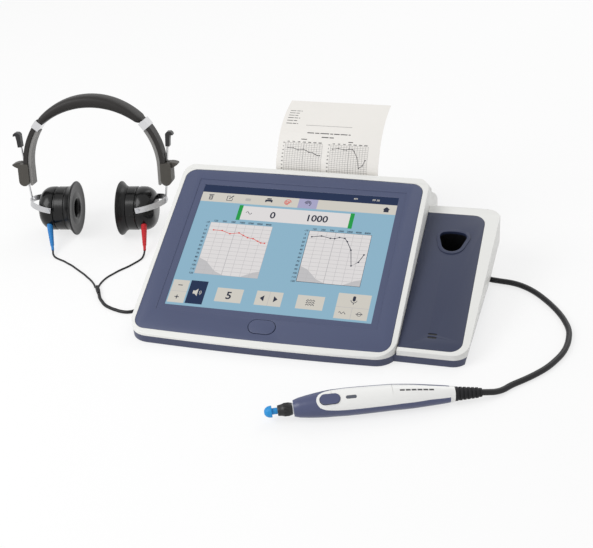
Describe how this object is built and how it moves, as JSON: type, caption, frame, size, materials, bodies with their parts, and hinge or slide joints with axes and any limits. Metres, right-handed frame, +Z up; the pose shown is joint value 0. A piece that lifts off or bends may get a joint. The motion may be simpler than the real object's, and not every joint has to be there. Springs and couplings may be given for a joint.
{
  "type": "tympanometer",
  "caption": "Desktop tympanometer with a tilted touch screen, a probe cradle, a strip printer, a hand-held probe on a cable and an audiometric headset on a cable.",
  "frame": {"origin": "on the table, below the middle of the console, the probe and the headset together", "axes": "+Z up, +X to the console's right, +Y from the screen's lower edge to the back"},
  "size_m": [0.6391, 0.4627, 0.1614],
  "materials": {
    "navy_plastic": "satin",
    "white_plastic": "satin",
    "screen_glass": "polished",
    "black_plastic": "satin",
    "black_rubber": "matte",
    "blue_rubber": "matte",
    "red_rubber": "matte",
    "steel": "brushed",
    "chrome": "polished",
    "aluminium": "satin",
    "paper": "matte",
    "grey_plastic": "satin",
    "board": "satin",
    "brown_plastic": "satin",
    "pad_leatherette": "satin"
  },
  "bodies": {
    "console": {"base_tray": "navy_plastic", "rubber_feet": "black_rubber", "upper_housing": "white_plastic", "front_panel": "navy_plastic", "display_module": "aluminium", "touch_glass": "screen_glass", "cradle_housing": "white_plastic", "cradle_panel": "navy_plastic", "probe_well": "black_plastic", "cradle_slots": "black_plastic", "rear_cover": "white_plastic", "printer_frame": "aluminium", "printer_motor": "steel", "lid_hinge_pin": "steel", "main_board": "board", "air_pump": "grey_plastic", "loudspeaker": "black_plastic", "rear_sockets": "black_plastic", "case_screws": "steel", "probe_lower_shell": "navy_plastic", "probe_upper_shell": "white_plastic", "probe_tube": "steel", "ear_tip": "blue_rubber", "probe_lens": "grey_plastic", "probe_core": "grey_plastic", "probe_strain_relief": "black_rubber", "probe_cable": "black_rubber", "probe_cable_coil": "black_rubber", "probe_plug": "black_plastic", "hanger_wires": "chrome", "wire_clips": "black_plastic", "fork_yokes": "steel", "yoke_pins": "chrome", "lead_junction": "black_rubber", "branch_leads": "black_rubber", "headset_cable": "black_rubber", "headset_cable_coil": "black_rubber", "headset_plug": "black_plastic", "cable_ties": "black_rubber"},
    "select_button": {"select_button": "navy_plastic"},
    "probe_button": {"probe_button": "navy_plastic"},
    "printer_lid": {"printer_lid": "white_plastic", "paper_strip": "paper"},
    "platen": {"platen_roller": "black_rubber"},
    "paper_roll": {"paper_roll": "paper"},
    "motor_pinion": {"motor_pinion": "grey_plastic"},
    "probe_nose": {"probe_nose": "black_plastic"},
    "headband": {"band_spring": "steel", "band_pad": "pad_leatherette", "band_sleeves": "chrome", "arm_liners": "grey_plastic", "slider_blocks": "brown_plastic"},
    "left_cup": {"left_cup_shell": "black_plastic", "left_cushion": "black_rubber", "left_receiver": "aluminium", "left_strain_relief": "blue_rubber"},
    "right_cup": {"right_cup_shell": "black_plastic", "right_cushion": "black_rubber", "right_receiver": "aluminium", "right_strain_relief": "red_rubber"}
  },
  "joints": [
    {"name": "select_button_press", "type": "slide", "parent": "console", "child": "select_button", "axis": [0, 0.3746, -0.9272], "range_m": [0, 0.0008], "stiffness_N_per_m": 800, "springref_m": -0.0005},
    {"name": "probe_button_press", "type": "slide", "parent": "console", "child": "probe_button", "axis": [-0.1997, 0.5223, -0.829], "range_m": [0, 0.0006], "stiffness_N_per_m": 800, "springref_m": -0.0005},
    {"name": "lid_hinge", "type": "hinge", "parent": "console", "child": "printer_lid", "pos_m": [0.084, 0.1694, 0.0394], "axis": [-1, 0, 0], "range_deg": [0, 75]},
    {"name": "platen_spin", "type": "hinge", "parent": "printer_lid", "child": "platen", "pos_m": [0.084, 0.1265, 0.061], "axis": [1, 0, 0], "continuous": true},
    {"name": "roll_spin", "type": "hinge", "parent": "console", "child": "paper_roll", "pos_m": [0.084, 0.1415, 0.03], "axis": [1, 0, 0], "continuous": true},
    {"name": "pinion_spin", "type": "hinge", "parent": "console", "child": "motor_pinion", "pos_m": [0.148, 0.11982, 0.05214], "axis": [1, 0, 0], "continuous": true},
    {"name": "nose_twist", "type": "hinge", "parent": "console", "child": "probe_nose", "pos_m": [0.11639, -0.18512, 0.01087], "axis": [0.937, 0.3466, 0.0436], "continuous": true},
    {"name": "band_slide", "type": "slide", "parent": "console", "child": "headband", "axis": [-0.0317, 0.2055, 0.9781], "range_m": [-0.014, 0.016]},
    {"name": "left_cup_tilt", "type": "hinge", "parent": "console", "child": "left_cup", "pos_m": [-0.23835, 0.10751, 0.03489], "axis": [-0.149, 0.9667, -0.2079], "range_deg": [-12, 12]},
    {"name": "right_cup_tilt", "type": "hinge", "parent": "console", "child": "right_cup", "pos_m": [-0.13556, 0.12335, 0.03489], "axis": [-0.149, 0.9667, -0.2079], "range_deg": [-12, 12]}
  ],
  "couplings": [
    {"joint": "platen_spin", "follows": "roll_spin", "ratio": 4.2},
    {"joint": "pinion_spin", "follows": "roll_spin", "ratio": -5.04}
  ]
}
